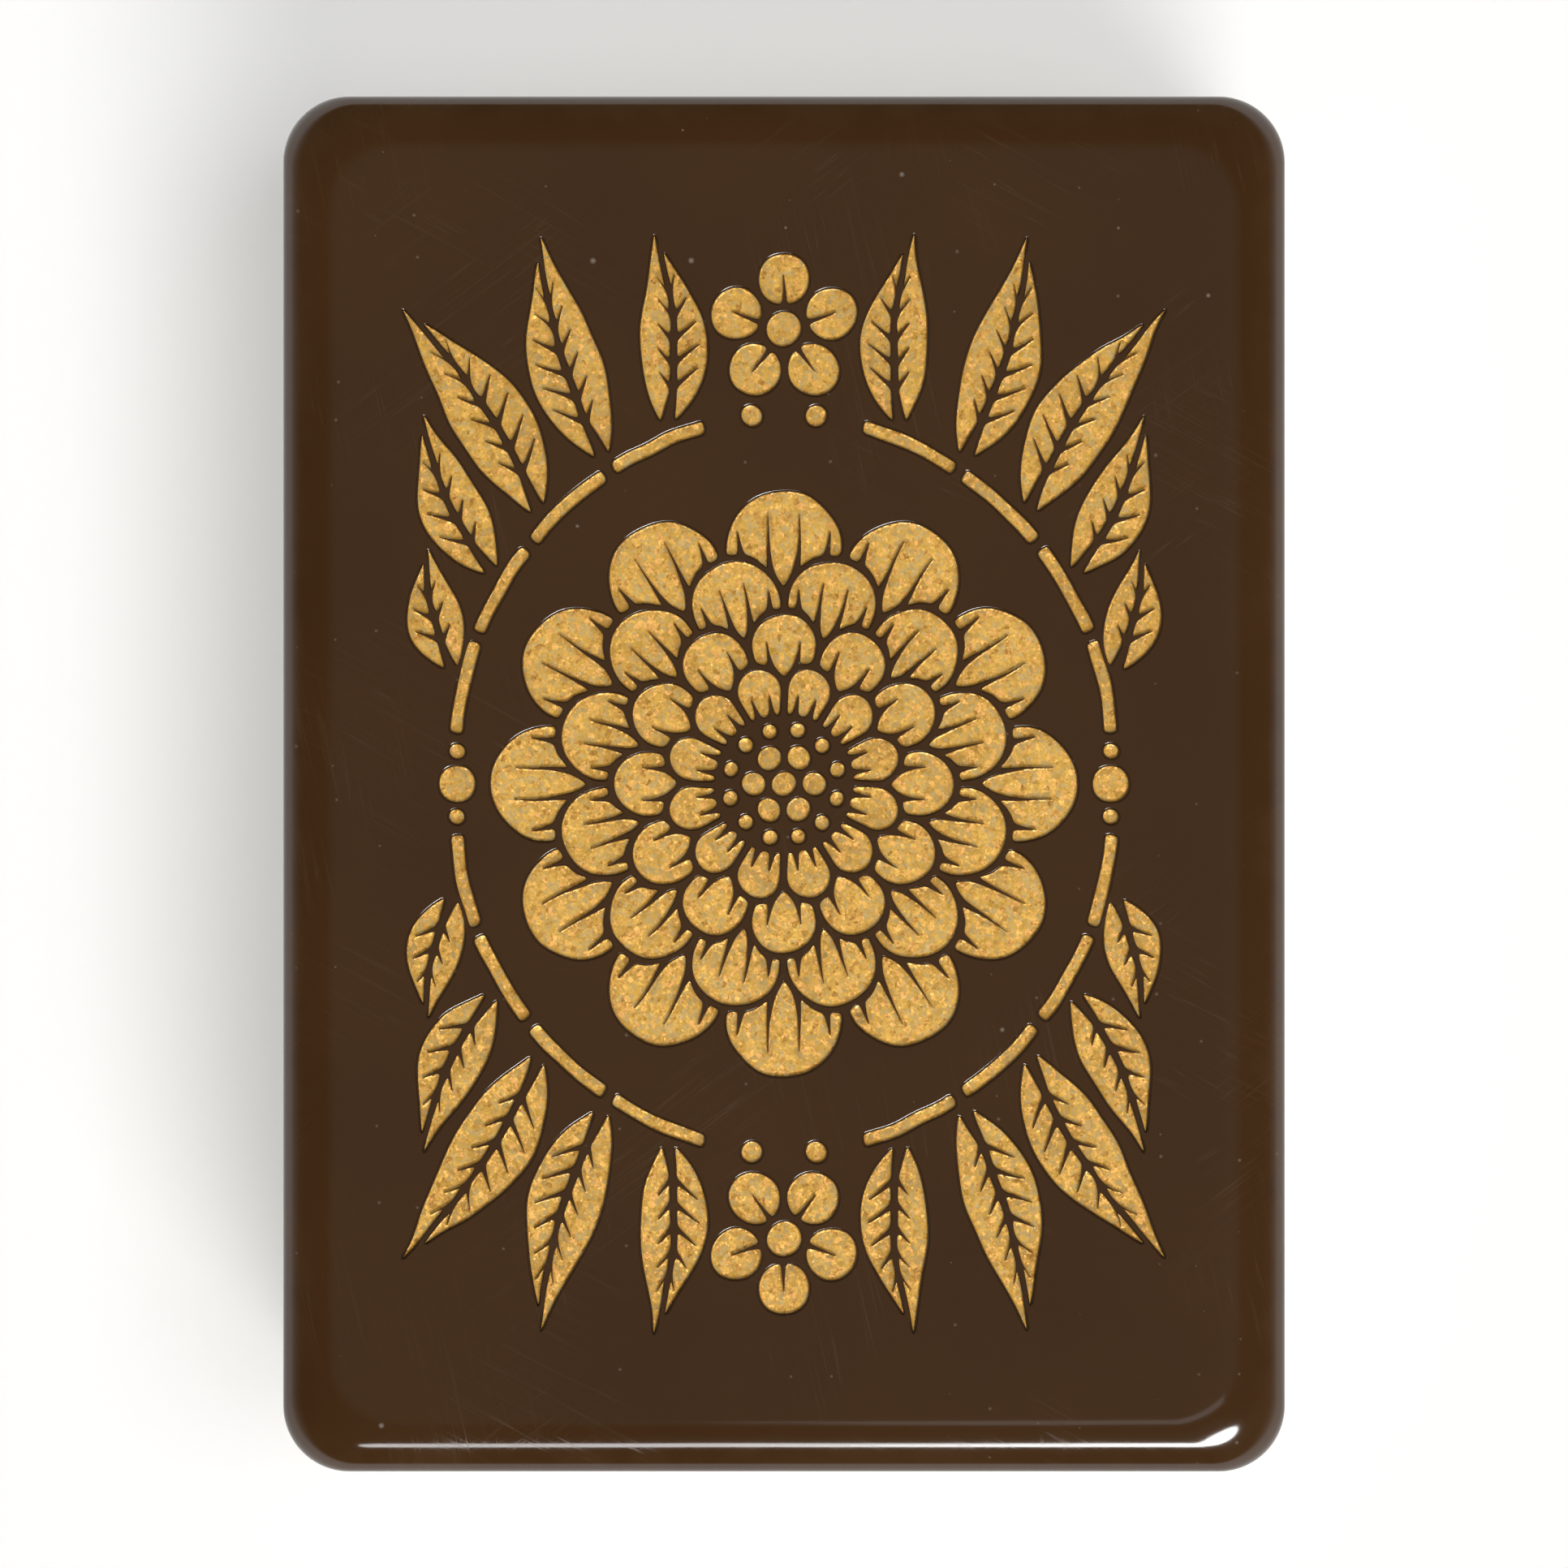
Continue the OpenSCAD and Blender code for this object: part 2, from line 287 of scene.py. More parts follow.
@dataclass
class Surface:
    """Points, normals and faces that are gathered before they become one mesh.

    Heights are counted from the outer flat of a layer, and are negative inside it. The mesh is
    turned over for the side that faces down.
    """

    side: Side
    level: float
    points: list[Array] = field(default_factory=list)
    normals: list[Array] = field(default_factory=list)
    rims: list[Array] = field(default_factory=list)
    cuts: list[Array] = field(default_factory=list)
    faces: list[Indices] = field(default_factory=list)
    count: int = 0

    def add_row(
        self, plan: Array, height: float | Array, normals: Array, rim: float | Array = 0.0, cut: float = 0.0
    ) -> Indices:
        """Adds one closed row of points.

        Args:
            plan: Points in the plane.
            height: Their height, or one for each.
            normals: Unit normals, each with its part along the height last.
            rim: How much of a rounded rim the row is, from 0 to 1.
            cut: How much of the cutter's edge the row is, from 0 to 1.

        Returns:
            The points' indices.
        """
        n = len(plan)
        self.points.append(np.column_stack([plan, np.broadcast_to(height, n)]))
        self.normals.append(np.broadcast_to(normals, (n, 3)))
        self.rims.append(np.broadcast_to(rim, n))
        self.cuts.append(np.broadcast_to(cut, n))
        self.count += n
        return np.arange(self.count - n, self.count)

    def add_bands(self, rows: Sequence[Indices]) -> None:
        """Adds the strips of triangles between successive closed rows.

        Args:
            rows: Indices of each row, which lies on the left of the one before it.
        """
        for outer, inner in zip(rows, rows[1:]):
            next_outer, next_inner = np.roll(outer, -1), np.roll(inner, -1)
            for corners in ((outer, next_outer, next_inner), (outer, next_inner, inner)):
                self.faces.append(np.stack(corners, axis=1))

    def add_region(self, rows: Sequence[Indices], turned: bool = False) -> None:
        """Fills the plane between closed rows with triangles.

        What lies inside an odd number of the rows is filled.

        Args:
            rows: Indices of each closed row.
            turned: Whether the faces look down.
        """
        points = np.concatenate(self.points)
        rows = [row if enclosed_area(points[row]) > 0 else row[::-1] for row in rows]
        used = np.concatenate(rows)
        ends = np.cumsum([len(row) for row in rows])
        loops = [list(range(end - len(row), end)) for row, end in zip(rows, ends)]
        plan = [Vector(p) for p in (points[used, :2] / MM).tolist()]
        _, _, triangles, sources, _, covers = geometry.delaunay_2d_cdt(plan, [], loops, 1, 1e-7, True)
        origin = np.array([source[0] for source in sources])
        kept = [t for t, cover in zip(triangles, covers) if len(cover) % 2]
        corners = used[origin[np.array(kept)]]
        self.faces.append(corners[:, ::-1] if turned else corners)

    def build(self, name: str) -> bpy.types.Object:
        """Makes the mesh object, with its normals and its rim and cut attributes.

        Points of successive rows that fall together, where an outline had no room to move, become
        one, and the triangles between them go.

        Args:
            name: Name of the piece.

        Returns:
            The new object, linked to the scene.
        """
        points, normals = np.concatenate(self.points), np.concatenate(self.normals)
        points[:, 2] = self.level + self.side.value * points[:, 2]
        normals = normals * [1, 1, self.side.value]
        places = np.round(points / MM, 6)
        _, kept, same = np.unique(places, axis=0, return_index=True, return_inverse=True)
        faces = same.reshape(-1)[np.concatenate(self.faces)][:, :: self.side.value]
        faces = faces[(faces != np.roll(faces, 1, axis=1)).all(axis=1)]
        points, normals = points[kept], normals[kept]
        mesh = bpy.data.meshes.new(name)
        mesh.from_pydata(points.tolist(), [], faces.tolist())
        for mask, values in (("rim", self.rims), ("cut", self.cuts)):
            attribute = mesh.attributes.new(mask, "FLOAT", "POINT")
            attribute.data.foreach_set("value", np.concatenate(values)[kept])
        mesh.polygons.foreach_set("use_smooth", [True] * len(mesh.polygons))
        mesh.normals_split_custom_set_from_vertices(normals.tolist())
        mesh.update()
        return new_object(mesh)


def tilted(outwards: Array, angle: float) -> Array:
    """Returns unit normals that point along the plan's normals, raised by an angle in degrees."""
    a = math.radians(angle)
    return np.column_stack([outwards * math.cos(a), np.full(len(outwards), math.sin(a))])


@dataclass(frozen=True)
class Plan:
    """Rounded rectangle that a layer has in plan, and every contour inside it."""

    width: float
    length: float
    corner: float
    inner_corner: float
    edge: float
    corner_steps: int = 20
    side_steps: int = 14

    def contour(self, inset: float) -> tuple[Array, Array]:
        """Works out the contour at a distance inside the edge.

        The corner's radius goes evenly from its value at the edge to its value at the end of the
        rounding, and shrinks with the inset from there. Each corner is an arc, centre +
        radius (cos a, sin a), and the straight sides run evenly from arc to arc.

        Args:
            inset: Distance inside the tile's edge.

        Returns:
            Points of the contour, anticlockwise, and their outward normals.
        """
        share = min(inset / self.edge, 1.0)
        radius = self.corner + (self.inner_corner - self.corner) * share - max(inset - self.edge, 0.0)
        half = np.array([self.width / 2, self.length / 2]) - inset - radius
        quarter = np.linspace(0, math.pi / 2, self.corner_steps + 1)
        angle = quarter + np.arange(4)[:, None] * math.pi / 2
        ways = np.stack([np.cos(angle), np.sin(angle)], axis=2)
        signs = np.array([[1, 1], [-1, 1], [-1, -1], [1, -1]])
        arcs = (signs * half)[:, None] + radius * ways
        t = np.linspace(0, 1, self.side_steps + 1)[1:-1][None, :, None]
        start, end = arcs[:, -1:], np.roll(arcs, -1, axis=0)[:, :1]
        sides = start + (end - start) * t
        side_ways = np.broadcast_to(ways[:, -1:], sides.shape)
        points = np.concatenate([arcs, sides], axis=1).reshape(-1, 2)
        return points, np.concatenate([ways, side_ways], axis=1).reshape(-1, 2)


@dataclass
class Layer:
    """One moulded layer of the tile, with rounded outer edges and engraved pockets."""

    box: tuple[Vector, Vector]
    node: str
    side: Side
    outlines: list[Outline]
    pocket_depth: float
    corner: float = 1.45 * MM
    inner_corner: float = 1.25 * MM
    edge: float = 1.45 * MM
    edge_drop: float = 0.7 * MM
    seam: float = 0.05 * MM
    lead_in: tuple[Pair, ...] = ((0.15 * MM, 89.5), (0.5 * MM, 90.0))
    edge_steps: int = 24
    rim_width: float = 0.07 * MM
    rim_drop: float = 0.05 * MM
    rim_steps: int = 3

    @property
    def level(self) -> float:
        """Returns the height of the layer's outer flat."""
        low, high = self.box
        return high.z if self.side is Side.BACK else low.z

    def build(self) -> bpy.types.Object:
        """Builds the closed shell of the layer.

        Returns:
            The layer's object.
        """
        size = self.box[1] - self.box[0]
        surface = Surface(self.side, self.level)
        plan = Plan(size.x, size.y, self.corner, self.inner_corner, self.edge)
        flat = self.add_shell(surface, plan, size.z)
        pockets = [self.add_pocket(surface, outline) for outline in self.outlines]
        surface.add_region([flat, *(rim for rim, _ in pockets)])
        surface.add_region([floor for _, floor in pockets])
        return surface.build(f"{self.node}_shell")

    def add_shell(self, surface: Surface, plan: Plan, thickness: float) -> Indices:
        """Adds the joint's flat, the walls and the rounded edges.

        Each row of the profile holds its inset, its height and the angle that its normal rises by.
        The rounding is a quarter ellipse: at the angle a its inset is edge (1 - cos a), its height
        is edge_drop (sin a - 1), and its normal rises by the angle whose tangent is
        edge / edge_drop tan a.

        Args:
            surface: Surface that takes the rows.
            plan: The layer's plan.
            thickness: Its thickness.

        Returns:
            The row where the outer flat starts.
        """
        profile = [(self.seam, -thickness, -60.0), (0.0, self.seam - thickness, -15.0)]
        profile += [(0.0, 2 * self.seam - thickness, 0.0), (0.0, -1.5 * self.edge_drop, 0.0)]
        for a in np.linspace(0, math.pi / 2, self.edge_steps + 1):
            across, up = math.cos(a), math.sin(a)
            facing = math.degrees(math.atan2(self.edge * up, self.edge_drop * across))
            profile.append((self.edge * (1 - across), self.edge_drop * (up - 1), min(facing, 89.0)))
        profile += [(self.edge + lead, 0.0, angle) for lead, angle in self.lead_in]
        rows = []
        for inset, height, angle in profile:
            points, ways = plan.contour(inset)
            rim = max(0.0, math.sin(math.radians(2 * angle))) if inset <= self.edge else 0.0
            rows.append(surface.add_row(points, height, tilted(ways, angle), rim))
        surface.add_bands(rows)
        surface.add_region([rows[0]], turned=True)
        return rows[-1]

    def add_pocket(self, surface: Surface, outline: Outline) -> tuple[Indices, Indices]:
        """Adds one engraved pocket: a rounded rim and an upright wall down to the floor.

        The rim is a quarter ellipse: at the angle a it lies rim_width (1 - cos a) outside the
        outline, at the height rim_drop (sin a - 1). Its cut mask, which carries painted shade, falls
        from 1 to 0 over a from 30 to 90 degrees.

        Args:
            surface: Surface that takes the rows.
            outline: The pocket's outline.

        Returns:
            The row where the rim meets the flat, and the row round the floor.
        """
        rows = []
        for angle in np.linspace(90, 0, self.rim_steps + 1):
            a = math.radians(angle)
            plan = outline.moved(self.rim_width * (1 - math.cos(a))) if angle else outline.points
            height = self.rim_drop * (math.sin(a) - 1)
            normals = tilted(-outline.outwards, angle)
            # The cut mask marks where the resin's painted shade goes.
            rows.append(surface.add_row(plan, height, normals, cut=min(1, 1.5 - angle / 60)))
        normals = tilted(-outline.outwards, 45)
        rows.append(surface.add_row(outline.points, -self.pocket_depth, normals, cut=1.0))
        surface.add_bands(rows)
        return rows[0], rows[-1]


@dataclass
class PaintFill:
    """Paint that fills a node's pockets: level in the middle, and climbing where it meets a wall.

    The border gives the distances from the wall at which more level rows lie. The rim mask falls
    from 1 at the wall to 0 at the last of them.
    """

    node: str
    side: Side
    outlines: list[Outline]
    level: float
    pocket_depth: float
    paint_depth: float
    climb: float = 0.015 * MM
    reach: float = 0.045 * MM
    steps: int = 3
    border: tuple[float, ...] = (0.09 * MM, 0.15 * MM)

    def build(self) -> bpy.types.Object:
        """Builds the closed solids of paint.

        At the distance s from the wall the paint has climbed by climb (1 - s / reach)^2.

        Returns:
            The paint's object.
        """
        surface = Surface(self.side, self.level)
        floors, middles = [], []
        for outline in self.outlines:
            rows = [surface.add_row(outline.points, -self.pocket_depth, tilted(outline.outwards, -45))]
            for distance in (*np.linspace(0, self.reach, self.steps + 1), *self.border):
                shift = outline.shift(-distance)
                short = np.maximum(1 - np.abs(shift) / self.reach, 0)
                slope = 2 * self.climb / self.reach * short
                normals = np.column_stack([-outline.outwards * slope[:, None], np.ones(len(slope))])
                normals /= np.linalg.norm(normals, axis=1, keepdims=True)
                plan = outline.points + outline.outwards * shift[:, None]
                height = self.climb * short**2 - self.paint_depth
                # The rim mask here carries the gold's painted shade by the pocket wall.
                rows.append(surface.add_row(plan, height, normals, 1 - np.abs(shift) / self.border[-1]))
            surface.add_bands(rows)
            floors.append(rows[0])
            middles.append(rows[-1])
        surface.add_region(middles)
        surface.add_region(floors, turned=True)
        return surface.build(f"{self.node}_paint")


# Finishes


Socket = bpy.types.NodeSocket
Value = Socket | float | Sequence[float]
Tree = bpy.types.NodeTree


@dataclass(frozen=True)
class Wiring:
    """Places nodes in a tree and joins them."""

    tree: Tree

    def feed(self, node: bpy.types.Node, inputs: Mapping[str | int, Value]) -> None:
        """Feeds inputs of a node.

        Args:
            node: The node.
            inputs: For each input, the socket that feeds it or its plain value.
        """
        for key, value in inputs.items():
            if isinstance(value, Socket):
                self.tree.links.new(value, node.inputs[key])
            else:
                node.inputs[key].default_value = value

    def add(
        self, kind: str, inputs: Mapping[str | int, Value] | None = None, **settings: object
    ) -> bpy.types.Node:
        """Places one node.

        Args:
            kind: Type of the node.
            inputs: For each input, the socket that feeds it or its plain value.
            settings: Other properties of the node.

        Returns:
            The new node.
        """
        node = self.tree.nodes.new(kind)
        for name, setting in settings.items():
            setattr(node, name, setting)
        self.feed(node, inputs or {})
        return node

    def maths(self, operation: str, *values: Value, clamp: bool = False) -> Socket:
        """Places a Math node and returns its result."""
        node = self.add("ShaderNodeMath", dict(enumerate(values)), operation=operation, use_clamp=clamp)
        return node.outputs[0]

    def weigh(self, start: Value, *parts: tuple[Socket, float]) -> Value:
        """Places nodes that add values to a start, each times its weight.

        Args:
            start: The start.
            parts: The values and their weights.

        Returns:
            The sum.
        """
        for value, weight in parts:
            start = self.maths("MULTIPLY_ADD", value, weight, start)
        return start

    def vector(self, operation: str, *values: Value) -> Socket:
        """Places a Vector Math node and returns its vector."""
        inputs = dict(zip((0, "Scale" if operation == "SCALE" else 1), values))
        return self.add("ShaderNodeVectorMath", inputs, operation=operation).outputs[0]

    def blend(self, share: Value, low: Value, high: Value) -> Socket:
        """Places a mix of two colours: low at a share of 0, high at 1."""
        return self.add("ShaderNodeMix", {0: share, 6: low, 7: high}, data_type="RGBA").outputs[2]

    def remap(self, value: Socket, low: Value, high: Value, start: Value = 0.0, end: Value = 1.0) -> Socket:
        """Places a smooth step: start below low, end above high."""
        inputs = {0: value, 1: low, 2: high, 3: start, 4: end}
        return self.add("ShaderNodeMapRange", inputs, interpolation_type="SMOOTHSTEP").outputs[0]

    def noise(self, place: Socket, scale: Value, detail: float = 2.0, roughness: float = 0.5) -> Socket:
        """Places a 3-D noise and returns its value."""
        inputs = {"Vector": place, "Scale": scale, "Detail": detail, "Roughness": roughness}
        return self.add("ShaderNodeTexNoise", inputs).outputs[0]

    def use(self, maker: Callable[[], Tree], place: Socket, **inputs: Value) -> Mapping[str, Socket]:
        """Places a shared effect.

        Args:
            maker: Function that builds its node group once.
            place: Place on the object, in millimetres.
            inputs: Its other inputs, by their names in the group.

        Returns:
            The effect's outputs.
        """
        return self.add("ShaderNodeGroup", {"Place": place, **inputs}, node_tree=maker()).outputs

    def mask(self, name: str) -> Socket:
        """Reads a mask that the piece's mesh carries."""
        return self.add("ShaderNodeAttribute", attribute_name=name).outputs["Fac"]

    def bump(self, height: Socket, distance: float, **inputs: Socket) -> Socket:
        """Places a bump and returns its normal: a height of 1 stands for the distance."""
        inputs = {"Height": height, "Strength": 1.0, "Distance": distance, **inputs}
        return self.add("ShaderNodeBump", inputs).outputs[0]


def start_effect(
    name: str, inputs: Mapping[str, float], outputs: Sequence[str] = ("Mask",)
) -> tuple[Wiring, Mapping[str, Socket], bpy.types.Node]:
    """Starts a node group for an effect that several finishes share.

    Args:
        name: Name of the effect.
        inputs: Default value of each input, besides the place.
        outputs: Names of the outputs: plain values, but for the normal.

    Returns:
        The group's wiring, its inputs, and the node that takes its outputs.
    """
    tree = bpy.data.node_groups.new(name, "ShaderNodeTree")
    for key in ("Place", *inputs, *outputs):
        kind = "NodeSocketVector" if key in ("Place", "Normal") else "NodeSocketFloat"
        side = "OUTPUT" if key in outputs else "INPUT"
        socket = tree.interface.new_socket(key, in_out=side, socket_type=kind)
        if key in inputs:
            socket.default_value = inputs[key]
    entry, leave = tree.nodes.new("NodeGroupInput"), tree.nodes.new("NodeGroupOutput")
    return Wiring(tree), entry.outputs, leave


@cache
def dust_effect() -> Tree:
    """Builds the mask of settled dust: a round speck in some cells of a Voronoi pattern in plan.

    Returns:
        The node group.
    """
    least_size, level_band = 0.35, (0.6, 0.95)
    defaults = {"Spacing": 1.0, "Size": 0.05, "Share": 0.3}
    wiring, entry, leave = start_effect("dust specks", defaults)
    inputs = {"Vector": entry["Place"], "Scale": wiring.maths("DIVIDE", 1.0, entry["Spacing"])}
    cells = wiring.add("ShaderNodeTexVoronoi", inputs, voronoi_dimensions="2D").outputs
    distance = wiring.maths("MULTIPLY", cells["Distance"], entry["Spacing"])
    lots = wiring.add("ShaderNodeSeparateColor", {0: cells["Color"]}).outputs
    chosen = wiring.maths("LESS_THAN", lots[0], entry["Share"])
    radius = wiring.maths("MULTIPLY", entry["Size"], wiring.maths("ADD", lots[1], least_size))
    speck = wiring.maths("SUBTRACT", 1.0, wiring.maths("DIVIDE", distance, radius), clamp=True)
    normal = wiring.add("ShaderNodeTexCoord").outputs["Normal"]
    upwards = wiring.add("ShaderNodeSeparateXYZ", {0: normal}).outputs[2]
    level = wiring.remap(wiring.maths("ABSOLUTE", upwards), *level_band)
    mask = wiring.maths("MULTIPLY", wiring.maths("MULTIPLY", chosen, speck), level, clamp=True)
    wiring.feed(leave, {"Mask": mask})
    return wiring.tree


@cache
def polish_effect() -> Tree:
    """Builds the mask of faint polishing marks: the thin middle lines of stretched noises.

    Returns:
        The node group.
    """
    turns, step = (0.5, 1.35, 2.5), np.array([7.0, 3.0, 11.0])
    width, length, thinness = 0.05, 3.0, 0.02
    line_scale, area_scale, area_band = 0.35, 0.22, (0.52, 0.68)
    wiring, entry, leave = start_effect("polishing marks", {})
    total: Value = 0.0
    for number, turn in enumerate(turns):
        inputs = {"Vector": entry["Place"], "Angle": turn}
        turned = wiring.add("ShaderNodeVectorRotate", inputs, rotation_type="Z_AXIS").outputs[0]
        place = wiring.vector("ADD", turned, (number * step).tolist())
        stretched = wiring.vector("MULTIPLY", place, (1 / length, 1 / width, 1.0))
        value = wiring.noise(stretched, line_scale, 1.0)
        offset = wiring.maths("ABSOLUTE", wiring.maths("SUBTRACT", value, 0.5))
        line = wiring.remap(offset, 0.0, thinness, 1.0, 0.0)
        area = wiring.remap(wiring.noise(place, area_scale, 1.0), *area_band)
        total = wiring.maths("MAXIMUM", total, wiring.maths("MULTIPLY", line, area))
    wiring.feed(leave, {"Mask": total})
    return wiring.tree


@cache
def wear_effect() -> Tree:
    """Builds the mask of worn rims: the piece's own rim mask, broken up.

    Returns:
        The node group.
    """
    scale, gain, low = 0.9, 1.8, 0.45
    wiring, entry, leave = start_effect("rim wear", {"Rim": 0.0})
    patches = wiring.maths("MULTIPLY", wiring.noise(entry["Place"], scale), gain)
    broken = wiring.maths("MULTIPLY", entry["Rim"], patches)
    wiring.feed(leave, {"Mask": wiring.remap(broken, low, 1.0)})
    return wiring.tree


@cache
def grain_effect() -> Tree:
    """Builds the grains of a metallic paint: each Voronoi cell has its own tone and its own tilt.

    Returns:
        The node group.
    """
    defaults = {"Size": 0.1, "Tilt": 0.3}
    wiring, entry, leave = start_effect("metallic grain", defaults, ("Tone", "Normal"))
    inputs = {"Vector": entry["Place"], "Scale": wiring.maths("DIVIDE", 1.0, entry["Size"])}
    cells = wiring.add("ShaderNodeTexVoronoi", inputs).outputs
    lots = wiring.add("ShaderNodeSeparateColor", {0: cells["Color"]}).outputs
    centred = wiring.vector("SUBTRACT", cells["Color"], (0.5, 0.5, 0.5))
    lean = wiring.vector("SCALE", centred, entry["Tilt"])
    normal = wiring.add("ShaderNodeNewGeometry").outputs["Normal"]
    leaning = wiring.vector("NORMALIZE", wiring.vector("ADD", normal, lean))
    wiring.feed(leave, {"Tone": lots[1], "Normal": leaning})
    return wiring.tree


@dataclass(frozen=True)
class Finish:
    """Look of one material."""

    name: str

    def material(self) -> bpy.types.Material:
        """Builds the material.

        Returns:
            The material.
        """
        material = bpy.data.materials.new(self.name)
        material.use_nodes = True
        wiring = Wiring(material.node_tree)
        shader = next(node for node in material.node_tree.nodes if node.type == "BSDF_PRINCIPLED")
        place = wiring.add("ShaderNodeTexCoord").outputs["Object"]
        wiring.feed(shader, self.shading(wiring, wiring.vector("SCALE", place, 1 / MM)))
        return material

    def shading(self, wiring: Wiring, place: Socket) -> dict[str, Value]:
        """Works out what feeds the shader.

        Args:
            wiring: Wiring of the material.
            place: Place on the object, in millimetres.

        Returns:
            What feeds each input.
        """
        raise NotImplementedError


@dataclass(frozen=True)
class Resin(Finish):
    """Polished moulded resin, with faint clouds, polishing marks, worn rims and dust, and painted shade on
    the shoulders of the engraving.

    The heights are those of its unevenness, in micrometres.
    """

    colour: Colour
    cloud: Colour
    worn: Colour
    dust: Colour
    # cut: colour of the painted shade on the shoulders of the engraving
    cut: Colour
    roughness: float = 0.07
    fine_rough: float = 0.03
    mark_rough: float = 0.12
    wear_rough: float = 0.02
    dust_rough: float = 0.3
    wear_tint: float = 0.15
    mark_tint: float = 0.2
    dust_share: float = 0.22
    ripple_height: float = 6.0
    mark_height: float = -0.12
    fine_height: float = 0.04
    refraction: float = 1.56
    translucency: float = 0.0

    def shading(self, wiring: Wiring, place: Socket) -> dict[str, Value]:
        """Works out what feeds the shader.

        Args:
            wiring: Wiring of the material.
            place: Place on the object, in millimetres.

        Returns:
            What feeds each input.
        """
        clouds = wiring.remap(wiring.noise(place, 0.16, 4.0, 0.6), 0.3, 0.7)
        fine = wiring.noise(place, 2.5, 3.0)
        ripple = wiring.noise(place, 0.3, 1.0)
        (marks,) = wiring.use(polish_effect, place)
        (wear,) = wiring.use(wear_effect, place, Rim=wiring.mask("rim"))
        (specks,) = wiring.use(dust_effect, place, Spacing=0.9, Size=0.04, Share=self.dust_share)
        (lint,) = wiring.use(dust_effect, place, Spacing=2.3, Size=0.06, Share=0.2)
        dust = wiring.maths("MAXIMUM", wiring.maths("MULTIPLY", specks, 0.5), lint)
        dust = wiring.maths("MULTIPLY", dust, 0.7)

        colour = wiring.blend(clouds, (*self.colour, 1), (*self.cloud, 1))
        colour = wiring.blend(wiring.maths("MULTIPLY", wear, self.wear_tint), colour, (*self.worn, 1))
        # Painted shade: the shoulders of the engraving are darkened along the cut mask.
        colour = wiring.blend(wiring.mask("cut"), colour, (*self.cut, 1))
        colour = wiring.blend(wiring.maths("MULTIPLY", marks, self.mark_tint), colour, (*self.worn, 1))
        roughs = (fine, self.fine_rough), (marks, self.mark_rough), (wear, self.wear_rough)
        heights = (ripple, self.ripple_height), (marks, self.mark_height), (fine, self.fine_height)
        return {
            "Base Color": wiring.blend(dust, colour, (*self.dust, 1)),
            "Roughness": wiring.weigh(self.roughness, *roughs, (dust, self.dust_rough)),
            "Normal": wiring.bump(wiring.weigh(0.0, *heights), 0.001 * MM),
            "IOR": self.refraction,
            "Subsurface Weight": self.translucency,
            "Subsurface Radius": (1.0, 0.7, 0.4),
            "Subsurface Scale": 0.6 * MM,
        }


@dataclass(frozen=True)
class GoldPaint(Finish):
    """Gold paint with coarse metallic grains, thinner and darker in patches, and with painted shade towards
    its border by the pocket wall.

    Each band gives the tones between which the grains go from one colour to the next.
    """

    bright: Colour
    colour: Colour
    thin: Colour
    fine_share: float = 0.35
    thin_band: Pair = (0.15, 0.48)
    bright_band: Pair = (0.58, 0.75)
    plain_shade: float = 0.12
    border_shade: float = 0.45
    roughness: float = 0.52
    tone_gloss: float = 0.2
    unevenness: float = 0.006 * MM
    metallic: float = 0.3

    def shading(self, wiring: Wiring, place: Socket) -> dict[str, Value]:
        """Works out what feeds the shader.

        Args:
            wiring: Wiring of the material.
            place: Place on the object, in millimetres.

        Returns:
            What feeds each input.
        """
        coarse = wiring.use(grain_effect, place, Size=0.11, Tilt=0.9)
        fine = wiring.use(grain_effect, place, Size=0.05, Tilt=0.7)
        tone = wiring.blend(self.fine_share, coarse["Tone"], fine["Tone"])
        normal = wiring.vector("NORMALIZE", wiring.vector("ADD", coarse["Normal"], fine["Normal"]))
        patches = wiring.remap(wiring.noise(place, 1.1, 5.0, 0.65), 0.3, 0.7)
        # Painted shade: the colour darkens towards the border, where the paint meets the pocket wall.
        shade = wiring.weigh(self.plain_shade, (wiring.mask("rim"), self.border_shade))
        shade = wiring.maths("MULTIPLY", shade, wiring.maths("SUBTRACT", 1.3, patches), clamp=True)

        colour = wiring.blend(wiring.remap(tone, *self.thin_band), (*self.thin, 1), (*self.colour, 1))
        colour = wiring.blend(wiring.remap(tone, *self.bright_band), colour, (*self.bright, 1))
        return {
            "Base Color": wiring.blend(shade, colour, (*self.thin, 1)),
            "Roughness": wiring.weigh(self.roughness, (tone, -self.tone_gloss)),
            "Normal": wiring.bump(wiring.noise(place, 6.0, 3.0), self.unevenness, Normal=normal),
            "Metallic": self.metallic,
        }


@dataclass(frozen=True)
class EnamelPaint(Finish):
    """Glossy enamel that was wiped into the engraving, with faint streaks and a little dust."""

    colour: Colour
    deep: Colour
    dust: Colour = (0.6, 0.58, 0.52)
    dust_tint: float = 0.5
    roughness: float = 0.24
    streak_rough: float = 0.12
    unevenness: float = 0.008 * MM

    def shading(self, wiring: Wiring, place: Socket) -> dict[str, Value]:
        """Works out what feeds the shader.

        Args:
            wiring: Wiring of the material.
            place: Place on the object, in millimetres.

        Returns:
            What feeds each input.
        """
        streaks = wiring.remap(wiring.noise(place, 0.9, 5.0, 0.6), 0.3, 0.7)
        (specks,) = wiring.use(dust_effect, place, Spacing=0.9, Size=0.045, Share=0.12)
        colour = wiring.blend(streaks, (*self.deep, 1), (*self.colour, 1))
        dust = wiring.maths("MULTIPLY", specks, self.dust_tint)
        return {
            "Base Color": wiring.blend(dust, colour, (*self.dust, 1)),
            "Roughness": wiring.weigh(self.roughness, (streaks, self.streak_rough)),
            "Normal": wiring.bump(wiring.noise(place, 3.0, 3.0), self.unevenness),
        }


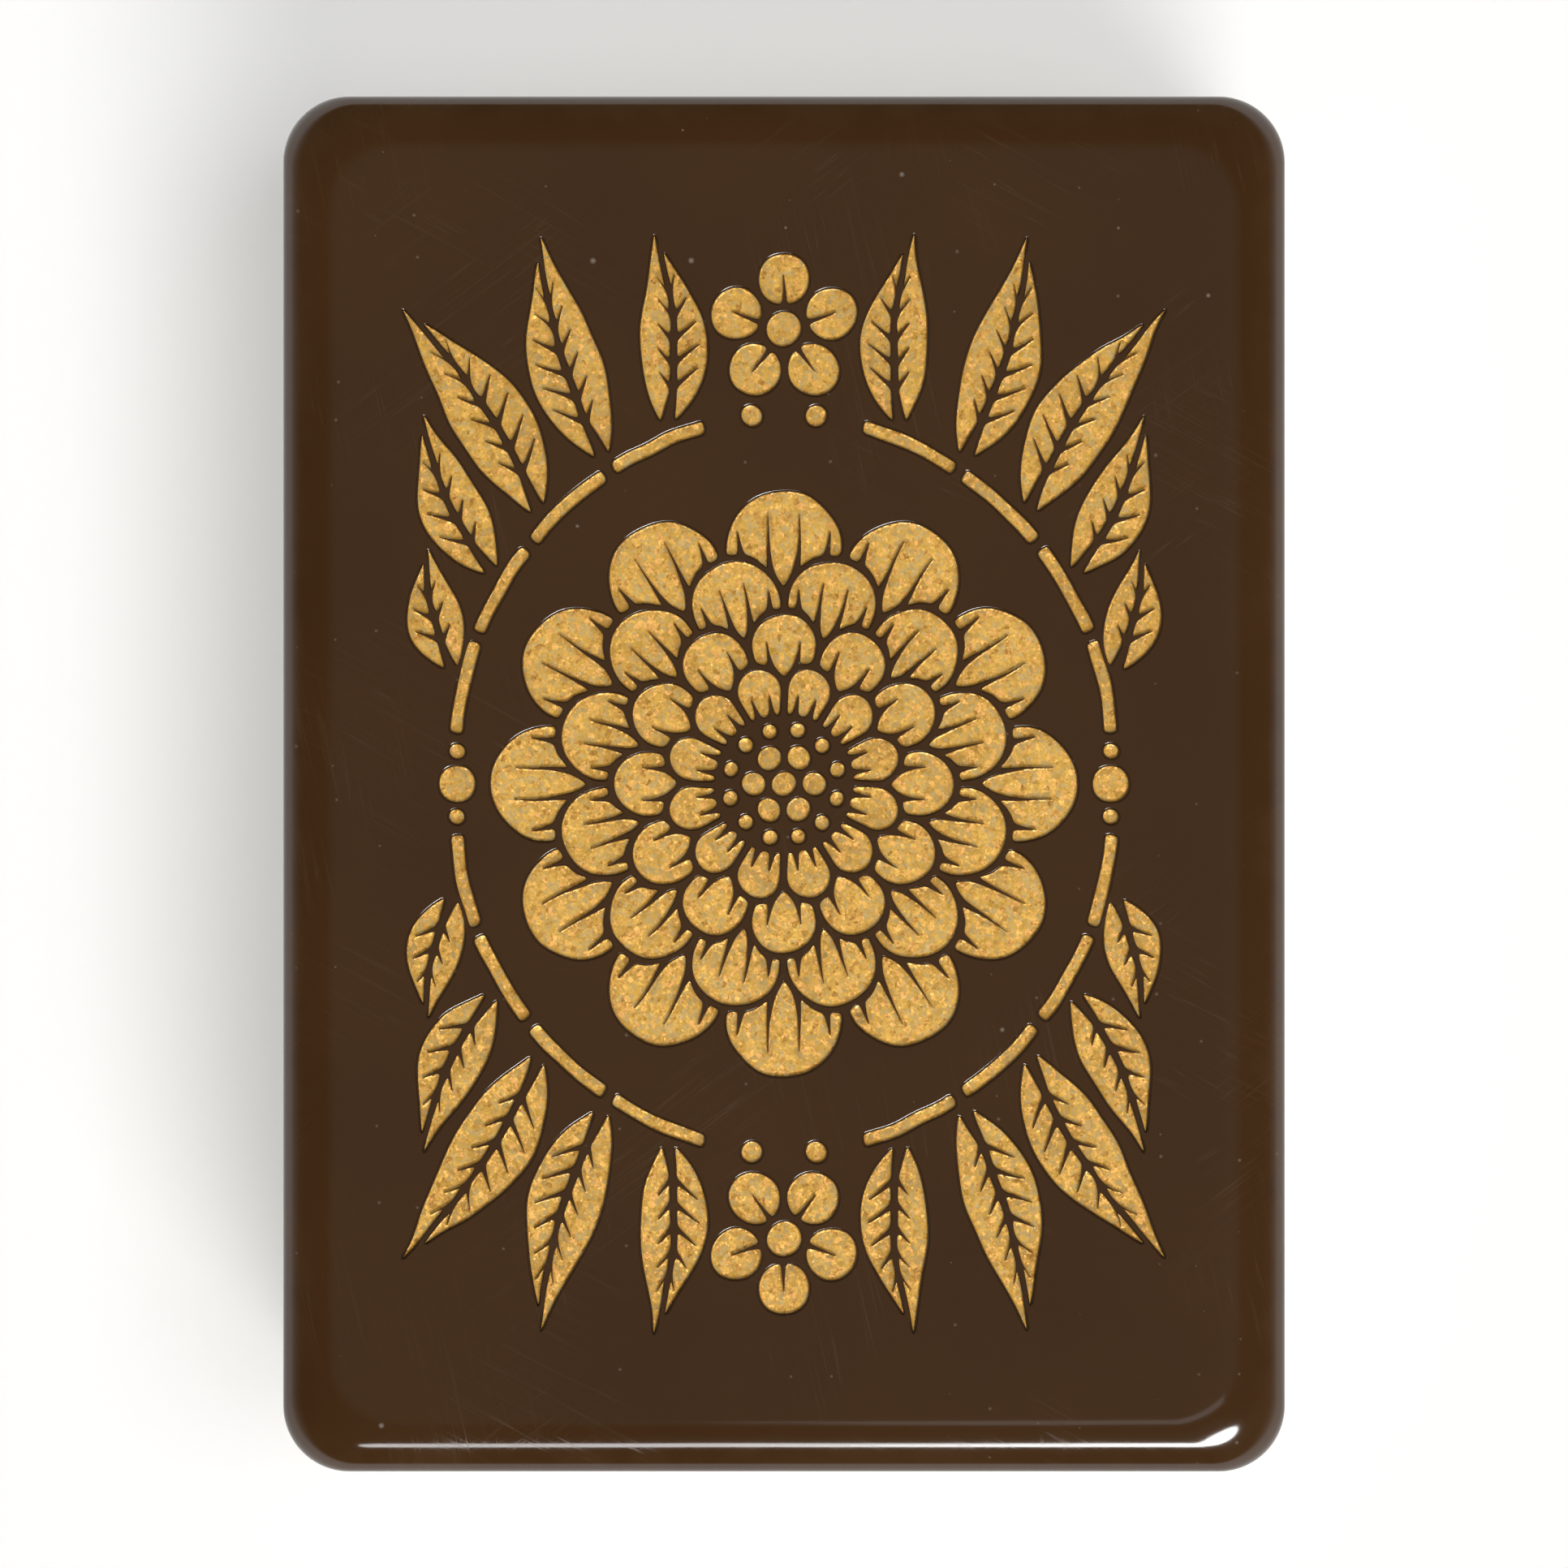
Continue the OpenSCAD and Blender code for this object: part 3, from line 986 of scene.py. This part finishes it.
@dataclass(frozen=True)
class WhiteTable(Finish):
    """Matt white. Seen directly, it is lifted to full white and keeps the shadow."""

    lift: float = 0.33
    greys: Pair = (0.78, 0.82)

    def shading(self, wiring: Wiring, place: Socket) -> dict[str, Value]:
        """Works out what feeds the shader.

        Args:
            wiring: Wiring of the material.
            place: Place on the object, in millimetres.

        Returns:
            What feeds each input.
        """
        dark, light = ((grey, grey, grey, 1) for grey in self.greys)
        colour = wiring.blend(wiring.noise(place, 0.05, 3.0), dark, light)
        path = wiring.add("ShaderNodeLightPath").outputs
        seen = wiring.maths("MAXIMUM", path["Is Camera Ray"], path["Is Glossy Ray"])
        seen = wiring.maths("MAXIMUM", seen, path["Is Transmission Ray"])
        level = 1.0 - self.lift
        return {
            "Base Color": wiring.blend(seen, colour, (level, level, level, 1)),
            "Roughness": 0.8,
            "Specular IOR Level": 0.0,
            "Emission Color": (1, 1, 1, 1),
            "Emission Strength": wiring.maths("MULTIPLY", seen, self.lift),
        }


class Slot(Enum):
    """Material slots of the record."""

    BACK = "back"
    FACE = "face"
    GOLD = "gold_paint"
    GREEN = "green_paint"
    RED = "red_paint"
    BLUE = "blue_paint"


FINISHES: dict[Slot, Finish] = {
    Slot.BACK: Resin(
        "brown resin",
        colour=(0.05, 0.0215, 0.0062),
        cloud=(0.056, 0.0245, 0.0075),
        worn=(0.1, 0.055, 0.024),
        dust=(0.3, 0.25, 0.2),
        # cut: painted shade on the shoulders of the engraving
        cut=(0.012, 0.005, 0.0016),
    ),
    Slot.FACE: Resin(
        "ivory resin",
        colour=(0.84, 0.75, 0.55),
        cloud=(0.87, 0.79, 0.61),
        worn=(0.68, 0.58, 0.4),
        dust=(0.45, 0.38, 0.28),
        # cut: painted shade on the shoulders of the engraving
        cut=(0.5, 0.42, 0.28),
        roughness=0.16,
        dust_share=0.15,
        translucency=0.25,
    ),
    Slot.GOLD: GoldPaint(
        "gold paint", bright=(1.0, 0.69, 0.26), colour=(0.95, 0.55, 0.1), thin=(0.52, 0.25, 0.04)
    ),
    Slot.GREEN: EnamelPaint("green enamel", colour=(0.012, 0.12, 0.045), deep=(0.006, 0.085, 0.03)),
    Slot.RED: EnamelPaint("red enamel", colour=(0.42, 0.018, 0.013), deep=(0.33, 0.01, 0.01)),
    Slot.BLUE: EnamelPaint("blue enamel", colour=(0.012, 0.04, 0.18), deep=(0.006, 0.025, 0.13)),
}


@cache
def material_of(slot: Slot) -> bpy.types.Material:
    """Returns a slot's material, built when it is first asked for."""
    return FINISHES[slot].material()


# Halves of the tile


@dataclass
class EngravedHalf:
    """One half of the tile: a moulded layer, and the paint in its engraving.

    Depths are counted from the outer flat. The outlines' room is measured up to the reach.
    """

    side: Side
    layer: str
    layer_slot: Slot
    paints: dict[str, Slot]
    pocket_depth: float = 0.4 * MM
    paint_depth: float = 0.1 * MM
    reach: float = 0.4 * MM
    smoother: Smoother = field(default_factory=Smoother)

    def build(self) -> None:
        """Builds and dresses the layer and every paint."""
        cut = {
            node: [Outline(self.smoother(polygon)) for polygon in outlines_of(node, self.side)]
            for node in self.paints
        }
        outlines = sum(cut.values(), [])
        everywhere = np.concatenate([outline.dense() for outline in outlines])
        for outline in outlines:
            outline.measure_room(everywhere, self.reach)
        layer = Layer(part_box(self.layer), self.layer, self.side, outlines, self.pocket_depth)
        self.dress(layer.build(), self.layer, self.layer_slot)
        for node, slot in self.paints.items():
            fill = PaintFill(node, self.side, cut[node], layer.level, self.pocket_depth, self.paint_depth)
            self.dress(fill.build(), node, slot)

    def dress(self, piece: bpy.types.Object, node: str, slot: Slot) -> None:
        """Gives a piece its finish, and puts it in the place of its CAD node.

        Args:
            piece: The piece.
            node: The CAD node that it stands for.
            slot: The record's material slot.
        """
        piece.data.materials.append(material_of(slot))
        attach(piece, "root")
        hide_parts(node)
        log.info("%s: %d faces, finished in %s", piece.name, len(piece.data.polygons), slot.value)


@dataclass
class BrownBack(EngravedHalf):
    """The brown half: the bloom, its wreath, the small blossoms and the berries, all in gold."""

    side: Side = Side.BACK
    layer: str = "back_layer"
    layer_slot: Slot = Slot.BACK
    paints: dict[str, Slot] = field(default_factory=lambda: dict.fromkeys((
        "outer_petals", "second_petals", "third_petals", "inner_petals", "button_seeds", "upper_leaves",
        "lower_leaves", "upper_stems", "lower_stems", "upper_blossom", "lower_blossom", "berries",
    ), Slot.GOLD))


@dataclass
class IvoryFace(EngravedHalf):
    """The ivory half: nine circles in three colours, cut by a steady turning tool."""

    side: Side = Side.FACE
    layer: str = "face_layer"
    layer_slot: Slot = Slot.FACE
    paints: dict[str, Slot] = field(default_factory=lambda: {
        "green_circles": Slot.GREEN, "red_circles": Slot.RED, "blue_circles": Slot.BLUE,
    })
    smoother: Smoother = field(default_factory=lambda: Smoother(wander=0.0))


# Studio


@dataclass(frozen=True)
class Light:
    """Light that points at the tile, at an azimuth in plan and a tilt from straight above."""

    name: str
    azimuth: float
    tilt: float

    def hang(self, data: bpy.types.Light, distance: float) -> bpy.types.Object:
        """Hangs the light.

        Args:
            data: The light's data.
            distance: Its distance.

        Returns:
            The light's object.
        """
        a, t = math.radians(self.azimuth), math.radians(self.tilt)
        way = Vector((math.sin(t) * math.cos(a), math.sin(t) * math.sin(a), math.cos(t)))
        light = new_object(data)
        light.location, light.rotation_euler = way * distance, way.to_track_quat("Z", "Y").to_euler()
        light.visible_camera = False
        return light


@dataclass(frozen=True)
class Lamp(Light):
    """Softbox that shows in the gloss. The even lights stand for what it adds to matt surfaces."""

    width: float
    height: float
    radiance: float
    shape: str = "ELLIPSE"
    distance: float = 2.0

    def build(self) -> None:
        """Builds the lamp, with an energy of pi times its radiance, width and height."""
        data = bpy.data.lights.new(self.name, "AREA")
        data.shape, data.size, data.size_y = self.shape, self.width, self.height
        data.energy = self.radiance * math.pi * self.width * self.height
        self.hang(data, self.distance).visible_diffuse = False


@dataclass(frozen=True)
class Sun(Light):
    """Broad even light that doesn't show in the gloss, like a large scrim."""

    spread: float
    level: float
    colour: Colour = (1.0, 1.0, 1.0)

    def build(self) -> None:
        """Builds the light: at strength pi / cos(tilt) it alone would show a flat's colour as written."""
        data = bpy.data.lights.new(self.name, "SUN")
        data.angle, data.color = math.radians(self.spread), self.colour
        data.energy = self.level * math.pi / math.cos(math.radians(self.tilt))
        self.hang(data, 1.0).visible_glossy = False


@dataclass(frozen=True)
class Studio:
    """White table, soft light from the lower right, and a camera straight above the tile.

    The walls' foot and reaches and the ceiling's two bounds are heights on the unit sphere.
    """

    floor_radius: float = 4.0
    floor_sides: int = 64
    table: Finish = WhiteTable("white table")
    view_height: float = 34.3 * MM
    lens: float = 180.0
    sensor: float = 36.0
    top: float = 13.0 * MM
    hair: float = 0.02 * MM
    suns: tuple[Sun, ...] = (
        Sun("key light", -67.0, 33.0, 26.0, 0.47, (1.0, 0.985, 0.96)),
        Sun("side light", -5.0, 15.0, 20.0, 0.24),
        Sun("fill light", 0.0, 0.0, 150.0, 0.2),
    )
    lamps: tuple[Lamp, ...] = (
        Lamp("line strip", -80.0, 41.6, 1.25, 0.2, 8.0),
        Lamp("long strip", -73.0, 41.6, 0.8, 0.22, 11.0),
        Lamp("corner box", -63.0, 41.2, 0.68, 0.4, 22.0),
        Lamp("upper strip", -66.0, 17.0, 0.5, 0.12, 0.9, "RECTANGLE"),
    )
    room_level: float = 0.03
    wall_foot: float = 0.1
    wall_reach: float = 0.03
    side_reach: float = 0.5
    ceiling: Pair = (0.92, 0.98)
    ceiling_level: float = 0.15

    def build(self) -> None:
        """Sets up the whole studio."""
        for light in (*self.suns, *self.lamps):
            light.build()
        self.fill_world()
        self.lay_floor()
        self.set_camera()

    def fill_world(self) -> None:
        """Fills the room: walls that are white at their foot and fade above it, and a dim ceiling.

        The walls' level at the height z is room + (1 - room)(1 - (z - foot) / reach)^2. The reach
        grows by side_reach with the square of the direction's part along X, so that the walls are
        higher on the left and right.
        """
        world = bpy.data.worlds.new("room")
        world.use_nodes = True
        wiring = Wiring(world.node_tree)
        background = next(node for node in world.node_tree.nodes if node.type == "BACKGROUND")
        way = wiring.add("ShaderNodeTexCoord").outputs["Generated"]
        x, _, height = wiring.add("ShaderNodeSeparateXYZ", {0: way}).outputs
        level_part = wiring.maths("SUBTRACT", 1.0, wiring.maths("MULTIPLY", height, height))
        level_part = wiring.maths("MAXIMUM", level_part, 1e-3)
        share = wiring.maths("DIVIDE", wiring.maths("MULTIPLY", x, x), level_part, clamp=True)
        reach = wiring.weigh(self.wall_reach, (share, self.side_reach))
        above = wiring.maths("MAXIMUM", wiring.maths("SUBTRACT", height, self.wall_foot), 0.0)
        fade = wiring.maths("SUBTRACT", 1.0, wiring.maths("DIVIDE", above, reach), clamp=True)
        walls = wiring.weigh(self.room_level, (wiring.maths("MULTIPLY", fade, fade), 1.0 - self.room_level))
        ceiling = wiring.remap(height, *self.ceiling, 0.0, self.ceiling_level - self.room_level)
        wiring.feed(background, {"Color": wiring.maths("ADD", walls, ceiling)})
        bpy.context.scene.world = world

    def lay_floor(self) -> None:
        """Lays the white table, a disc whose rim is radius (cos a, sin a), a hair below the tile."""
        angle = np.linspace(0, 2 * math.pi, self.floor_sides, endpoint=False)
        rim = self.floor_radius * np.stack([np.cos(angle), np.sin(angle)], axis=1)
        points = np.column_stack([rim, np.full(self.floor_sides, -self.hair)])
        mesh = bpy.data.meshes.new("table")
        mesh.from_pydata(points.tolist(), [], [list(range(self.floor_sides))])
        mesh.materials.append(self.table.material())
        floor = new_object(mesh)

    def set_camera(self) -> None:
        """Sets the camera above the tile, so far that the view height fills the frame."""
        data = bpy.data.cameras.new("camera")
        data.sensor_width, data.lens = self.sensor, self.lens
        distance = self.view_height * self.lens / self.sensor
        data.clip_start, data.clip_end = 0.01, 20.0
        camera = new_object(data)
        camera.location = (0.0, 0.0, self.top + distance)
        bpy.context.scene.camera = camera
        bpy.context.scene.view_settings.view_transform = "Standard"


def main() -> None:
    """Builds the tile and its studio."""
    logging.basicConfig(level=logging.INFO, format="%(name)s: %(message)s")
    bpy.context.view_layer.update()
    for half in (BrownBack(), IvoryFace()):
        half.build()
    Studio().build()
    bpy.context.view_layer.update()


if __name__ == "__main__":
    main()
